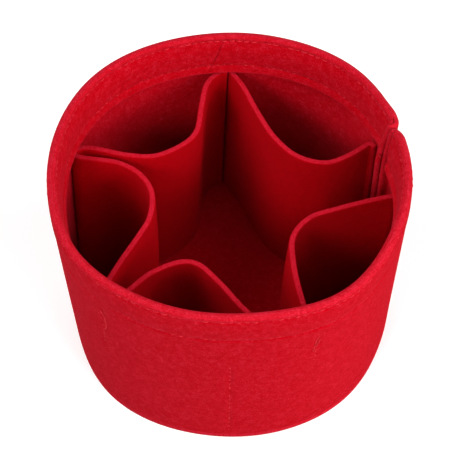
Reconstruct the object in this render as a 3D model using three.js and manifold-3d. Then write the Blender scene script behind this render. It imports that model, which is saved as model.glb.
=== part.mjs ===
// Round felt bucket insert: a tapered tub with a faced rim and five looped pockets, all sewn from cut felt.
// Millimetres, +Z up, +Y to the rear, +X to the right. The underside of the base is at z = 0.
import * as THREE from "three";
import { mergeVertices } from "three/addons/utils/BufferGeometryUtils.js";
import Module from "manifold-3d";

const wasm = await Module();
wasm.setup();

// Overall sizes
const RIM_DIAMETER = 180;
const BASE_DIAMETER = 168;
const HEIGHT = 118;

// Felt, thread and the air left between pieces that touch
const FELT = 3;
const THREAD = 0.7;
const CLEARANCE = 0.3;

// Rim: the facing strip inside the wall, and the rounded crest that the two make
const FACING_DEPTH = 24;
const CREST_ROUND = 2;
const SLIT_AZIMUTH = 94.5;
const SLIT_LEAN = 9;
const SLIT_WIDTH = 0.5;

// Wall seam at the right, where both ends of the wall turn inwards and are sewn together.
// Behind the facing the turned-in ends are trimmed to a slant that leaves little at the rim.
const WALL_SEAM_AZIMUTH = 15.5;
const SEAM_ALLOWANCE = 9;
const SEAM_ALLOWANCE_AT_RIM = 5;
const SEAM_GAP = 0.4;
const TURN_INNER_RADIUS = 2;

// Stitch rows
const RIM_STITCH_DROP = 3;
const FACING_STITCH_MARGIN = 4.5;
const FRONT_STITCH_AZIMUTH = -90;
const FRONT_STITCH_TOP = 75;
const STITCH_END_MARGIN = 3;

// Pockets: seam azimuths in degrees, how far the pocket tops stay under the facing,
// and how far the deepest loop stands in from the wall
const POCKET_GAP = 1;
const POCKET_REACH = 46;
const SEAM_REAR = 90;
const SEAM_LEFT = 158.5;
const SEAM_FRONT_LEFT = 225;
const SEAM_FRONT_RIGHT = 298;

// Facets
const ROUND_STEPS = 96;
const TURN_STEPS = 5;
const CREST_STEPS = 3;
const POCKET_STEPS = 44;
const THREAD_SIDES = 6;
const THREAD_STEPS = 72;

// Heights and radii that follow from the sizes above
const WALL_BOTTOM = FELT + CLEARANCE;
const FACING_BOTTOM = HEIGHT - FACING_DEPTH;
const POCKET_TOP = FACING_BOTTOM - POCKET_GAP;
const BASE_STITCH_Z = WALL_BOTTOM + THREAD / 2;
const POCKET_BOTTOM = WALL_BOTTOM + THREAD + CLEARANCE;

const outerRadius = (z) => (BASE_DIAMETER + ((RIM_DIAMETER - BASE_DIAMETER) * z) / HEIGHT) / 2;
const innerRadius = (z) => outerRadius(z) - FELT;
const facingOuterRadius = (z) => innerRadius(z) - CLEARANCE;
const facingInnerRadius = (z) => facingOuterRadius(z) - FELT;

const radians = THREE.MathUtils.degToRad;
const degrees = THREE.MathUtils.radToDeg;
const polar = (radius, azimuth) => {
  return new THREE.Vector2(radius * Math.cos(radians(azimuth)), radius * Math.sin(radians(azimuth)));
};

const felt = new THREE.MeshStandardMaterial({ color: 0xc8101f, roughness: 0.95, metalness: 0 });
const cutFelt = new THREE.MeshStandardMaterial({ color: 0xb80d1c, roughness: 0.95, metalness: 0 });
const thread = new THREE.MeshStandardMaterial({ color: 0xa80c19, roughness: 0.8, metalness: 0 });

const insert = new THREE.Group();

function addPiece(name, geometry, material) {
  const mesh = new THREE.Mesh(geometry, material);
  mesh.name = name;
  insert.add(mesh);
}

// Strips of felt

// One level of a strip: the path's points moved to the left and to the right of the way that it runs.
function stripLevel(path, z, toLeft, toRight) {
  const last = path.length - 1;
  const left = [];
  const right = [];
  path.forEach((point, i) => {
    const ahead = path[Math.min(i + 1, last)].clone().sub(path[Math.max(i - 1, 0)]).normalize();
    left.push([point.x - ahead.y * toLeft, point.y + ahead.x * toLeft, z]);
    right.push([point.x + ahead.y * toRight, point.y - ahead.x * toRight, z]);
  });
  return { left, right };
}

// Closed solid through levels of a strip, from the lowest to the highest.
function stackedStrip(levels) {
  const positions = [];
  const quad = (a, b, c, d) => positions.push(...a, ...b, ...c, ...a, ...c, ...d);
  const last = levels[0].left.length - 1;
  const bottom = levels[0];
  const top = levels[levels.length - 1];
  for (let i = 0; i < last; i++) {
    quad(top.right[i], top.right[i + 1], top.left[i + 1], top.left[i]);
    quad(bottom.left[i], bottom.left[i + 1], bottom.right[i + 1], bottom.right[i]);
  }
  for (let k = 0; k + 1 < levels.length; k++) {
    const low = levels[k];
    const high = levels[k + 1];
    for (let i = 0; i < last; i++) {
      quad(low.left[i], high.left[i], high.left[i + 1], low.left[i + 1]);
      quad(low.right[i], low.right[i + 1], high.right[i + 1], high.right[i]);
    }
    quad(low.left[0], low.right[0], high.right[0], high.left[0]);
    quad(low.right[last], low.left[last], high.left[last], high.right[last]);
  }
  const geometry = new THREE.BufferGeometry();
  geometry.setAttribute("position", new THREE.Float32BufferAttribute(positions, 3));
  geometry.computeVertexNormals();
  return geometry;
}

// Heights of a strip whose top edge is rounded on one side, with how far that side draws in at each.
function crestLevels(...straightHeights) {
  const levels = straightHeights.map((z) => ({ z, drawnIn: 0 }));
  for (let k = 0; k <= CREST_STEPS; k++) {
    const angle = ((Math.PI / 2) * k) / CREST_STEPS;
    levels.push({
      z: HEIGHT - CREST_ROUND * (1 - Math.sin(angle)),
      drawnIn: CREST_ROUND * (1 - Math.cos(angle)),
    });
  }
  return levels;
}

function arcPath(radius, fromAzimuth, toAzimuth, steps) {
  const path = [];
  for (let i = 0; i <= steps; i++) {
    path.push(polar(radius, fromAzimuth + ((toAzimuth - fromAzimuth) * i) / steps));
  }
  return path;
}

// Base disc, whose cut edge shows under the wall

const baseDisc = new THREE.CylinderGeometry(outerRadius(FELT), outerRadius(0), FELT, ROUND_STEPS);
baseDisc.rotateX(Math.PI / 2);
baseDisc.translate(0, 0, FELT / 2);
addPiece("base_disc", baseDisc, cutFelt);

// Outer wall: one strip round the tub, with both ends turned inwards at the seam

// How far the turned-in ends reach into the tub at one height.
function seamAllowance(z) {
  const trimmed = THREE.MathUtils.clamp((z - FACING_BOTTOM) / FACING_DEPTH, 0, 1);
  return THREE.MathUtils.lerp(SEAM_ALLOWANCE, SEAM_ALLOWANCE_AT_RIM, trimmed);
}

// Middle line of the wall at one height, from one turned-in end to the other.
function wallPath(z) {
  const radius = outerRadius(z) - FELT / 2;
  const turn = TURN_INNER_RADIUS + FELT / 2;
  const side = (SEAM_GAP + FELT) / 2;
  const turnCentre = Math.sqrt((radius - turn) ** 2 - (side + turn) ** 2);
  const meet = Math.asin((side + turn) / (radius - turn));
  const outward = polar(1, WALL_SEAM_AZIMUTH);
  const sideways = polar(1, WALL_SEAM_AZIMUTH + 90);
  const place = (along, out) => {
    return outward.clone().multiplyScalar(out).addScaledVector(sideways, along);
  };
  const end = [[side, radius - seamAllowance(z)]];
  for (let k = 0; k < TURN_STEPS; k++) {
    const angle = Math.PI - ((Math.PI / 2 + meet) * k) / TURN_STEPS;
    end.push([side + turn + turn * Math.cos(angle), turnCentre + turn * Math.sin(angle)]);
  }
  const start = WALL_SEAM_AZIMUTH + degrees(meet);
  const round = arcPath(radius, start, start + 360 - 2 * degrees(meet), ROUND_STEPS);
  return [
    ...end.map(([along, out]) => place(along, out)),
    ...round,
    ...end.reverse().map(([along, out]) => place(-along, out)),
  ];
}

const wallLevels = crestLevels(WALL_BOTTOM, FACING_BOTTOM).map(({ z, drawnIn }) => {
  return stripLevel(wallPath(z), z, FELT / 2, FELT / 2 - drawnIn);
});
addPiece("outer_wall", stackedStrip(wallLevels), felt);

// Rim facing: two strips inside the wall that meet at a leaning slit and stop at the wall seam

const besideSeam = (radius) => {
  return degrees(Math.asin((SEAM_GAP / 2 + FELT + TURN_INNER_RADIUS + CLEARANCE) / radius));
};

// Azimuth of one side of the slit, which leans to the left going down.
function slitSide(z, side) {
  const lean = SLIT_LEAN * (0.5 - (z - FACING_BOTTOM) / FACING_DEPTH);
  return SLIT_AZIMUTH + degrees((lean + (side * SLIT_WIDTH) / 2) / facingOuterRadius(z));
}

function facingStrip(fromAzimuth, toAzimuth) {
  const steps = Math.ceil((ROUND_STEPS * (toAzimuth(HEIGHT) - fromAzimuth(HEIGHT))) / 360);
  const levels = crestLevels(FACING_BOTTOM).map(({ z, drawnIn }) => {
    const path = arcPath(facingOuterRadius(z) - FELT / 2, fromAzimuth(z), toAzimuth(z), steps);
    return stripLevel(path, z, FELT / 2 - drawnIn, FELT / 2);
  });
  return stackedStrip(levels);
}

const seamStart = (z) => WALL_SEAM_AZIMUTH + besideSeam(facingInnerRadius(z));
const seamEnd = (z) => WALL_SEAM_AZIMUTH + 360 - besideSeam(facingInnerRadius(z));
addPiece("rim_facing_short", facingStrip(seamStart, (z) => slitSide(z, -1)), felt);
addPiece("rim_facing_long", facingStrip((z) => slitSide(z, 1), seamEnd), felt);

// Pockets: each panel leaves the wall at one seam, loops into the tub and comes back at the next

// A panel lies flat on the wall at a seam, or runs into the wall end on and is trimmed there.
const FLAT = FELT / 2 + CLEARANCE;
const END_ON = -FELT;

// Lines of the panels in plan: how each end meets the wall, and the loop between the ends
// as azimuth in degrees and share of the pockets' reach.
const POCKETS = {
  rear_right: {
    start: { azimuth: SEAM_REAR - 0.6, inset: FLAT },
    loop: [[86.5, 0.06], [84.5, 0.21], [76, 0.61], [59, 0.91], [38, 0.93], [25.5, 0.7], [23.8, 0.37], [25.5, 0.13]],
    end: { azimuth: 26.5, inset: END_ON },
  },
  rear_left: {
    start: { azimuth: SEAM_REAR + 0.6, inset: FLAT },
    loop: [[94.5, 0.05], [99, 0.2], [103, 0.5], [112, 0.87], [125, 0.98], [144, 0.89], [151.5, 0.61], [154.4, 0.26]],
    end: { azimuth: SEAM_LEFT - 1.8, inset: END_ON },
  },
  left: {
    start: { azimuth: SEAM_LEFT + 1.8, inset: END_ON },
    loop: [[160.4, 0.26], [159.4, 0.57], [161.5, 0.83], [173, 1], [196, 0.98], [207, 0.8], [216, 0.46], [221, 0.17]],
    end: { azimuth: SEAM_FRONT_LEFT - 1.6, inset: END_ON },
  },
  front: {
    start: { azimuth: SEAM_FRONT_LEFT + 1.6, inset: END_ON },
    loop: [[227.6, 0.22], [229.5, 0.61], [239, 0.89], [250, 0.93], [264, 0.72], [275, 0.42], [284, 0.17], [291.5, 0.06]],
    end: { azimuth: SEAM_FRONT_RIGHT - 0.8, inset: FLAT },
  },
  right: {
    start: { azimuth: SEAM_FRONT_RIGHT + 1.8, inset: END_ON },
    loop: [[300.4, 0.24], [302.5, 0.48], [310, 0.82], [324, 1], [344, 0.93], [354, 0.67], [359, 0.38], [361.4, 0.13]],
    end: { azimuth: 362.2, inset: END_ON },
  },
};

function toSolid(geometry) {
  const bare = geometry.clone();
  bare.deleteAttribute("normal");
  const merged = mergeVertices(bare);
  return new wasm.Manifold(
    new wasm.Mesh({
      numProp: 3,
      vertProperties: new Float32Array(merged.attributes.position.array),
      triVerts: new Uint32Array(merged.index.array),
    })
  );
}

function toGeometry(solid) {
  const mesh = solid.getMesh();
  const geometry = new THREE.BufferGeometry();
  geometry.setAttribute("position", new THREE.Float32BufferAttribute(mesh.vertProperties, 3));
  geometry.setIndex(new THREE.Uint32BufferAttribute(mesh.triVerts, 1));
  geometry.computeVertexNormals();
  return geometry;
}

// Space inside the wall that the panels are trimmed to.
const cavity = wasm.Manifold.cylinder(
  HEIGHT,
  innerRadius(0) - CLEARANCE,
  innerRadius(HEIGHT) - CLEARANCE,
  ROUND_STEPS
);

function pocketPanel({ start, loop, end }) {
  const between = loop.map(([azimuth, share]) => ({ azimuth, inset: share * POCKET_REACH }));
  const levels = [POCKET_BOTTOM, POCKET_TOP].map((z) => {
    const points = [start, ...between, end].map(({ azimuth, inset }) => {
      const plan = polar(innerRadius(z) - inset, azimuth);
      return new THREE.Vector3(plan.x, plan.y, 0);
    });
    const path = new THREE.CatmullRomCurve3(points).getSpacedPoints(POCKET_STEPS);
    return stripLevel(path, z, FELT / 2, FELT / 2);
  });
  return toGeometry(toSolid(stackedStrip(levels)).intersect(cavity));
}

for (const [side, pocket] of Object.entries(POCKETS)) {
  addPiece(`pocket_panel_${side}`, pocketPanel(pocket), felt);
}

// Stitch rows, each one unbroken thread that lies against the felt

class ThreadLine extends THREE.Curve {
  constructor(pointAt) {
    super();
    this.pointAt = pointAt;
  }

  getPoint(t, target = new THREE.Vector3()) {
    return target.copy(this.pointAt(t));
  }
}

const threadSection = new THREE.Shape();
for (let k = 0; k < THREAD_SIDES; k++) {
  const corner = polar(THREAD / 2, (360 * k) / THREAD_SIDES);
  if (k === 0) {
    threadSection.moveTo(corner.x, corner.y);
  } else {
    threadSection.lineTo(corner.x, corner.y);
  }
}

function addThread(name, steps, pointAt) {
  const extrudePath = new ThreadLine(pointAt);
  addPiece(name, new THREE.ExtrudeGeometry(threadSection, { steps, extrudePath }), thread);
}

function addRoundThread(name, radius, z, clearOfSeam) {
  const from = WALL_SEAM_AZIMUTH + clearOfSeam;
  const to = WALL_SEAM_AZIMUTH + 360 - clearOfSeam;
  addThread(name, THREAD_STEPS, (t) => {
    const plan = polar(radius, from + (to - from) * t);
    return new THREE.Vector3(plan.x, plan.y, z);
  });
}

function addUprightThread(name, azimuth, bottom, top) {
  addThread(name, 1, (t) => {
    const z = bottom + (top - bottom) * t;
    const plan = polar(outerRadius(z) + CLEARANCE + THREAD / 2, azimuth);
    return new THREE.Vector3(plan.x, plan.y, z);
  });
}

const lying = CLEARANCE + THREAD / 2;
const rimStitchZ = HEIGHT - RIM_STITCH_DROP;
const facingStitchZ = FACING_BOTTOM + FACING_STITCH_MARGIN;
for (const [row, z] of [["rim", rimStitchZ], ["facing", facingStitchZ]]) {
  const inside = facingInnerRadius(z) - lying;
  addRoundThread(`${row}_stitch_outer`, outerRadius(z) + lying, z, besideSeam(outerRadius(z)));
  addRoundThread(`${row}_stitch_inner`, inside, z, besideSeam(inside));
}
addRoundThread(
  "base_stitch",
  innerRadius(BASE_STITCH_Z) - lying,
  BASE_STITCH_Z,
  besideSeam(innerRadius(BASE_STITCH_Z) - SEAM_ALLOWANCE)
);

const POCKET_SEAMS = {
  rear: SEAM_REAR,
  left: SEAM_LEFT,
  front_left: SEAM_FRONT_LEFT,
  front_right: SEAM_FRONT_RIGHT,
};
for (const [seam, azimuth] of Object.entries(POCKET_SEAMS)) {
  addUprightThread(`pocket_stitch_${seam}`, azimuth, WALL_BOTTOM + STITCH_END_MARGIN, POCKET_TOP);
}
addUprightThread("front_stitch", FRONT_STITCH_AZIMUTH, WALL_BOTTOM + STITCH_END_MARGIN, FRONT_STITCH_TOP);

// The wall seam's row lies on the front one of the two turned-in ends, under the facing.
addThread("wall_seam_stitch", 1, (t) => {
  const z = THREE.MathUtils.lerp(WALL_BOTTOM + STITCH_END_MARGIN, FACING_BOTTOM, t);
  const out = polar(innerRadius(z) - SEAM_ALLOWANCE / 2, WALL_SEAM_AZIMUTH);
  const beside = polar(SEAM_GAP / 2 + FELT + lying, WALL_SEAM_AZIMUTH - 90);
  return new THREE.Vector3(out.x + beside.x, out.y + beside.y, z);
});

export default insert;
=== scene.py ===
# %% [markdown]
# # A felt bucket insert, sewn from flat cuts
# The object is a round tub of thick red felt that stands inside a bucket bag and sorts make-up.
# Everything in it is a strip or a disc of 3 mm felt, and sewing thread. A strip can be modelled flat and
# bent with modifiers, but the bends here are known: a cone, a turned-in seam, five loops. So each strip is
# worked out directly as a surface: a line in plan, carried up through the heights of the felt.

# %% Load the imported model
import math

import bpy
import numpy as np
from mathutils import Matrix, Vector


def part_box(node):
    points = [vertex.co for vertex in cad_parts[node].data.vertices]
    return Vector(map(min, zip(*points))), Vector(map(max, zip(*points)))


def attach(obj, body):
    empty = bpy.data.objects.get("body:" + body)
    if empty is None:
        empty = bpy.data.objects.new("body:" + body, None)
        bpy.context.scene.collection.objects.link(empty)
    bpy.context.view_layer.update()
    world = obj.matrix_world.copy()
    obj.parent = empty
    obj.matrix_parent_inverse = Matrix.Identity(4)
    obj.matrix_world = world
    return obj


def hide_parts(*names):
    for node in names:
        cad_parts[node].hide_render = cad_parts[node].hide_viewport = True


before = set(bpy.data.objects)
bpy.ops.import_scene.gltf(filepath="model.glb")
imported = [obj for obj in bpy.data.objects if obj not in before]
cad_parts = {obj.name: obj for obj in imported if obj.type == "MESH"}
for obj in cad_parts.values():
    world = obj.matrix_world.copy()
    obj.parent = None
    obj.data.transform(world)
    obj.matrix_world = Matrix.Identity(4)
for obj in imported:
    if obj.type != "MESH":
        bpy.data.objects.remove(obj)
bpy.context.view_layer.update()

MM = 0.001

# %% [markdown]
# The sizes come from the frame, in millimetres: the felt is as thick as the base disc, the rim is as wide
# as the wall, and so on. The azimuths of the seams are seen in plan, with 0 at the right and 90 at the rear.

# %% Sizes


def node_box(name):
    """Lowest and highest corner of a node of the frame, in millimetres."""
    low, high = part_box(name)
    return np.array(low) / MM, np.array(high) / MM


base_low, base_high = node_box("base_disc")
wall_low, wall_high = node_box("outer_wall")
facing_low, _ = node_box("rim_facing_long")
_, pocket_high = node_box("pocket_panel_left")

FELT = base_high[2] - base_low[2]
HEIGHT = wall_high[2]
RIM_RADIUS = (wall_high[0] - wall_low[0]) / 2
BASE_RADIUS = (base_high[0] - base_low[0]) / 2
FACING_BOTTOM = facing_low[2]
POCKET_TOP = pocket_high[2]

# Air between two layers of felt that lie on each other
TOUCH = 0.06
WALL_BOTTOM = FELT + TOUCH

WALL_SEAM = 17.7
REAR_SEAM = 90.2
LEFT_SEAM = 159.0
FRONT_LEFT_SEAM = 227.5
FRONT_RIGHT_SEAM = 298.3
FRONT_ROW = 270.3

# Degrees by which a seam or row has moved by the time it reaches the floor, as hand sewing never runs plumb
LEANS = {REAR_SEAM: 2.6, LEFT_SEAM: 13.0, FRONT_LEFT_SEAM: -5.5, FRONT_RIGHT_SEAM: -2.6, FRONT_ROW: -0.6}

RIM_ROW = HEIGHT - 3.0
FACING_ROW = FACING_BOTTOM + 4.5
STITCH_PITCH = 4.0
print(f"felt {FELT:.1f} mm, rim {2 * RIM_RADIUS:.1f} mm across, {HEIGHT:.1f} mm high")

# %% [markdown]
# A hand-sewn felt tub is never a true cone. The photograph shows a rim that is a little squared: it stands
# out at its four corners and dips at the front right. Each of these is a soft hill round the
# rim, so one function gives the wall's radius at any azimuth and height, and another the rim's lift.
# Everything that touches the wall asks the same functions, so nothing has to be fitted afterwards.

# %% The wall's true form

# Hills round the tub: azimuth, half-width in degrees, then millimetres outwards at the rim,
# outwards at the base and upwards at the rim.
HILLS = {
    "front_right_corner": (310.0, 20.0, 3.2, 1.1, -2.0),
    "front_left_corner": (219.0, 22.0, 2.0, 1.2, -0.4),
    "rear_right_corner": (47.0, 20.0, 2.7, 0.3, 0.0),
    "rear_left_corner": (140.0, 22.0, 2.7, 0.3, 0.0),
    "rear": (90.0, 26.0, 0.7, 0.0, 0.2),
    "right": (-3.0, 13.0, 0.1, 0.8, 0.0),
    "left_waist": (196.0, 18.0, 0.3, -1.4, 0.0),
    "front": (268.0, 18.0, -0.3, -0.6, 0.0),
    "seam_shoulder": (23.5, 4.0, 0.8, 0.0, 0.0),
    "seam_notch": (WALL_SEAM, 3.2, 0.0, 0.0, -0.6),
}


# Millimetres of the low waves in the wall's radius and in the height of its rim
WALL_WAVE = 0.14
RIM_WAVE = 0.25
RIM_RIPPLE = 0.2


def degrees_from(azimuth, centre):
    """Angle from a centre to an azimuth, from -180 to 180 degrees."""
    return (azimuth - centre + 180.0) % 360.0 - 180.0


def in_plan(radius, azimuth):
    """x and y of the place at a radius and azimuth."""
    angle = np.radians(azimuth)
    return radius * np.cos(angle), radius * np.sin(angle)


def bell(distance, reach):
    """exp(-(distance / reach)^2): 1 in the middle, falling off to both sides."""
    return np.exp(-((distance / reach) ** 2))


def wall_radius(azimuth, z):
    """Radius of the wall's outer face: the cone's, plus each hill's share at this height."""
    rise = z / HEIGHT
    radius = BASE_RADIUS + (RIM_RADIUS - BASE_RADIUS) * rise
    for centre, width, at_rim, at_base, _ in HILLS.values():
        hill = bell(degrees_from(azimuth, centre), width)
        radius = radius + hill * (at_base + (at_rim - at_base) * rise)
    uneven = np.sin(np.radians(5 * azimuth + 1.3 * z)) + np.sin(np.radians(8 * azimuth - 1.9 * z + 40))
    return radius + WALL_WAVE * uneven


def rim_lift(azimuth, z):
    """How far the felt at this height is lifted: the hills' lift, growing with the square of the height."""
    lift = RIM_WAVE * np.sin(np.radians(3 * azimuth + 70)) + RIM_RIPPLE * np.sin(np.radians(7 * azimuth))
    for centre, width, _, _, up in HILLS.values():
        lift = lift + up * bell(degrees_from(azimuth, centre), width)
    return lift * (z / HEIGHT) ** 2


probe = np.arange(0.0, 360.0, 45.0)
print("rim radius every 45 degrees:", np.round(wall_radius(probe, HEIGHT), 1))

# %% [markdown]
# A strip of felt is a thin closed body: a left face, a right face, and cut edges between them. Solidify
# could thicken a sheet, but then both faces would be copies. Here each face has its own offset, so a
# stitch row can press into one side only. The grid runs along the strip and round its section, so the
# faces follow from the indices alone.

# %% Meshes from grids


def add_object(name, data):
    """Object with this data, linked to the scene."""
    made = bpy.data.objects.new(name, data)
    bpy.context.scene.collection.objects.link(made)
    return made


def add_mesh(name, points, faces, cut=None):
    """Object of points in millimetres and quads that face outwards. `cut` is the paler share: standing
    fibres, painted crest sheen.
    """
    a, b, c, d = (points[faces[:, k]] for k in range(4))
    volume = (np.sum(a * np.cross(b, c)) + np.sum(a * np.cross(c, d))) / 6
    if volume < 0:
        faces = faces[:, ::-1]
    mesh = bpy.data.meshes.new(name)
    mesh.vertices.add(len(points))
    mesh.vertices.foreach_set("co", (points * MM).ravel())
    mesh.loops.add(faces.size)
    mesh.loops.foreach_set("vertex_index", faces.ravel().astype(np.int32))
    mesh.polygons.add(len(faces))
    mesh.polygons.foreach_set("loop_start", np.arange(0, faces.size, 4, dtype=np.int32))
    mesh.polygons.foreach_set("use_smooth", np.ones(len(faces), bool))
    mesh.update(calc_edges=True)
    if cut is not None:
        edge = mesh.attributes.new("cut", "FLOAT", "POINT")
        edge.data.foreach_set("value", cut.ravel().astype(np.float32))
    piece = add_object(name, mesh)
    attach(piece, "root")
    print(f"{name}: {len(points)} points, {len(faces)} faces, {abs(volume) / 1000:.1f} cm3")
    return piece


def closed_faces(rings, sides):
    """Faces of a closed body of rings of points: quads from ring to ring, and a ladder over each end."""
    i, j = np.meshgrid(np.arange(rings - 1) * sides, np.arange(sides), indexing="ij")
    k = (j + 1) % sides
    quads = np.stack([i + j, i + k, i + sides + k, i + sides + j], -1).reshape(-1, 4)
    rung = np.arange(sides // 2 - 1)
    ladder = np.stack([rung, sides - 1 - rung, sides - 2 - rung, rung + 1], -1)
    return np.concatenate([quads, ladder, ladder[:, ::-1] + (rings - 1) * sides])


def add_strip(name, x, y, z, to_left, to_right, cut):
    """Felt strip round the middle surface (x, y, z), with each face moved sideways by its own offset.

    The first axis of the arrays runs along the strip and the second one up it. The sideways direction is
    the level direction at right angles to the strip's run.
    """
    run_x, run_y = np.gradient(x, axis=0), np.gradient(y, axis=0)
    length = np.hypot(run_x, run_y)
    side_x, side_y = -run_y / length, run_x / length
    left = np.stack([x + side_x * to_left, y + side_y * to_left, z], -1)
    right = np.stack([x - side_x * to_right, y - side_y * to_right, z], -1)
    points = np.concatenate([left, right[:, ::-1]], 1)
    both = np.concatenate([cut, cut[:, ::-1]], 1)
    return add_mesh(name, points.reshape(-1, 3), closed_faces(*points.shape[:2]), both)


def near(distance, reach=0.7):
    """1 on an edge, falling to 0 at the given distance from it."""
    return np.clip(1.0 - distance / reach, 0.0, 1.0)


def rounded(distance, height=0.45, width=0.45):
    """Drawn-in amount near an edge: a quarter ellipse of this height and width."""
    return width * (1.0 - np.sqrt(1.0 - near(distance, height) ** 2))


# Heights of the rows of points next to a cut edge
EDGE_ROWS = np.array([0.0, 0.06, 0.2, 0.45, 0.9])

# %% [markdown]
# Sewing shows in felt as a shallow trench with a deeper dimple at every needle hole. The trench is part of
# the felt's shape, so it catches the light from any side, and the stitches then lie in it.

# %% Stitch trenches

TRENCH_DEPTH = 0.75
TRENCH_WIDTH = 0.95
FACING_ROW_SHIFT = 1.7

# Shares of the depth by which a trench swings between holes and stitches, and with the thread's pull
HOLE_SWING = 0.32
PULL_SWING = 0.25


def trench(across, along):
    """Depth of a stitch row: a narrow valley, deeper at the holes and where the thread is pulled tighter."""
    holes = 1.0 - HOLE_SWING * (1.0 + np.cos(2 * np.pi * along / STITCH_PITCH))
    pull = 1.0 + PULL_SWING * (np.sin(along / 7.3) + np.sin(along / 3.1 + 1.0) - 1.0)
    return TRENCH_DEPTH * bell(across, TRENCH_WIDTH) * holes * pull


def round_trenches(azimuth, z):
    """Depth of the two rows that run round the rim."""
    run = np.radians(azimuth) * RIM_RADIUS
    return trench(z - RIM_ROW, run) + trench(z - FACING_ROW, run + FACING_ROW_SHIFT)


# Rows up the wall: azimuth at the top, lowest and highest stitch, and the height under which the
# thread has sunk into the felt.
ROW_BOTTOM = FELT + 3.0
UPRIGHT_ROWS = {
    "pocket_stitch_rear": (REAR_SEAM, ROW_BOTTOM, POCKET_TOP, 0.0),
    "pocket_stitch_left": (LEFT_SEAM, ROW_BOTTOM, POCKET_TOP, 0.0),
    "pocket_stitch_front_left": (FRONT_LEFT_SEAM, ROW_BOTTOM, POCKET_TOP, 50.0),
    "pocket_stitch_front_right": (FRONT_RIGHT_SEAM, ROW_BOTTOM, POCKET_TOP, 66.0),
    "front_stitch": (FRONT_ROW, ROW_BOTTOM, 75.0, 0.0),
}

# Millimetres over which a trench fades at a row's end and where its thread has sunk, and what is left there
END_FADE = 2.0
SUNK_FADE = 8.0
SUNK_SHARE = 0.25

# The pucker near the top of a front pocket row, and the swell between the rim row and the facing row
PUCKER_DEPTH = 0.7
PUCKER_ROUND = 2.2
PUCKER_UP = 7.0
PUCKER_HEIGHT = POCKET_TOP - 8.0
SWELL = 0.3
SWELL_REACH = 5.5


def seam_azimuth(seam, z):
    """Azimuth of a leaning seam or row: its own at the pockets' top, moved by its lean at the floor."""
    return seam + LEANS[seam] * near(z - FELT, POCKET_TOP - FELT)


def row_distance(azimuth, seam, z):
    """Distance in millimetres round the wall from a leaning seam or row."""
    return np.radians(degrees_from(azimuth, seam_azimuth(seam, z))) * RIM_RADIUS


def upright_trenches(azimuth, z):
    """Depth of the rows that run up the wall, each between its lowest and highest stitch."""
    depth = 0.0
    for seam, bottom, top, sunk in UPRIGHT_ROWS.values():
        within = np.clip((z - bottom) / END_FADE, 0, 1) * np.clip((top - z) / END_FADE + 0.5, 0, 1)
        shown = np.clip((z - sunk) / SUNK_FADE, SUNK_SHARE, 1.0)
        depth = depth + trench(row_distance(azimuth, seam, z), z) * within * shown
    return depth


def outer_dents(azimuth, z):
    """All that presses into the wall's outer face: trenches and puckers, less the swell between two rows."""
    dents = round_trenches(azimuth, z) + upright_trenches(azimuth, z)
    for seam in (FRONT_LEFT_SEAM, FRONT_RIGHT_SEAM):
        pucker = bell(row_distance(azimuth, seam, z), PUCKER_ROUND) * bell(z - PUCKER_HEIGHT, PUCKER_UP)
        dents = dents + PUCKER_DEPTH * pucker
    return dents - SWELL * bell(z - (RIM_ROW + FACING_ROW) / 2, SWELL_REACH)


print("deepest trench", round(float(trench(0.0, STITCH_PITCH / 2)), 2), "mm")

# %% [markdown]
# ## Colours and finishes
# Needled polyester felt is a mat of crimped fibres pressed into a sheet. It has no gloss. The eye sees a
# soft, slightly blotchy red, a pale bloom where the surface turns away, and lighter cut edges where
# the fibres stand up. Two noises make it: a coarse one for the blotches, and a fine, twisted one for the mat.

# %% Node helpers


def colour(code):
    """Linear red, green, blue and alpha of an sRGB hex colour."""
    channels = np.array([int(code[k : k + 2], 16) for k in (1, 3, 5)]) / 255.0
    linear = np.where(channels <= 0.04045, channels / 12.92, ((channels + 0.055) / 1.055) ** 2.4)
    return (*linear.tolist(), 1.0)


def add_node(tree, kind, values=None, links=None, **settings):
    """Adds a node, sets its properties and input values, and links other nodes' outputs to its inputs."""
    made = tree.nodes.new(kind)
    for name, value in settings.items():
        setattr(made, name, value)
    for name, value in (values or {}).items():
        made.inputs[name].default_value = value
    for name, output in (links or {}).items():
        tree.links.new(output, made.inputs[name])
    return made


def new_material(name):
    """Empty node material and its tree."""
    made = bpy.data.materials.new(name)
    made.use_nodes = True
    made.node_tree.nodes.clear()
    return made, made.node_tree


def add_noise(tree, size_mm, values):
    """Noise with a pattern of this size, in the object's own coordinates, which are in metres."""
    place = add_node(tree, "ShaderNodeTexCoord").outputs["Object"]
    values = {"Scale": 1.0 / (size_mm * MM), **values}
    return add_node(tree, "ShaderNodeTexNoise", values, {"Vector": place}).outputs["Fac"]


def add_ramp(tree, value, first, last):
    """Colours between two stops, each a position and a hex colour."""
    ramp = add_node(tree, "ShaderNodeValToRGB", None, {"Fac": value})
    for stop, (position, code) in zip(ramp.color_ramp.elements, (first, last)):
        stop.position = position
        stop.color = colour(code)
    return ramp.outputs["Color"]


def add_range(tree, value, before, after):
    """Value carried over from one range of numbers to another."""
    limits = dict(zip(("From Min", "From Max", "To Min", "To Max"), before + after))
    return add_node(tree, "ShaderNodeMapRange", limits, {"Value": value}).outputs["Result"]


def add_math(tree, operation, first, second):
    """Two values joined by an operation."""
    return add_node(tree, "ShaderNodeMath", None, {0: first, 1: second}, operation=operation).outputs[0]


def add_tint(tree, under, code, factor):
    """A hex colour mixed over the colour under it."""
    links = {"Factor": factor, "A": under}
    return add_node(tree, "ShaderNodeMix", {"B": colour(code)}, links, data_type="RGBA").outputs["Result"]


def add_bump(tree, strength, depth_mm, links):
    """Normals of bumps of this depth. The links give their height and the normals that they lie on."""
    values = {"Strength": strength, "Distance": depth_mm * MM}
    return add_node(tree, "ShaderNodeBump", values, links).outputs["Normal"]


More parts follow.
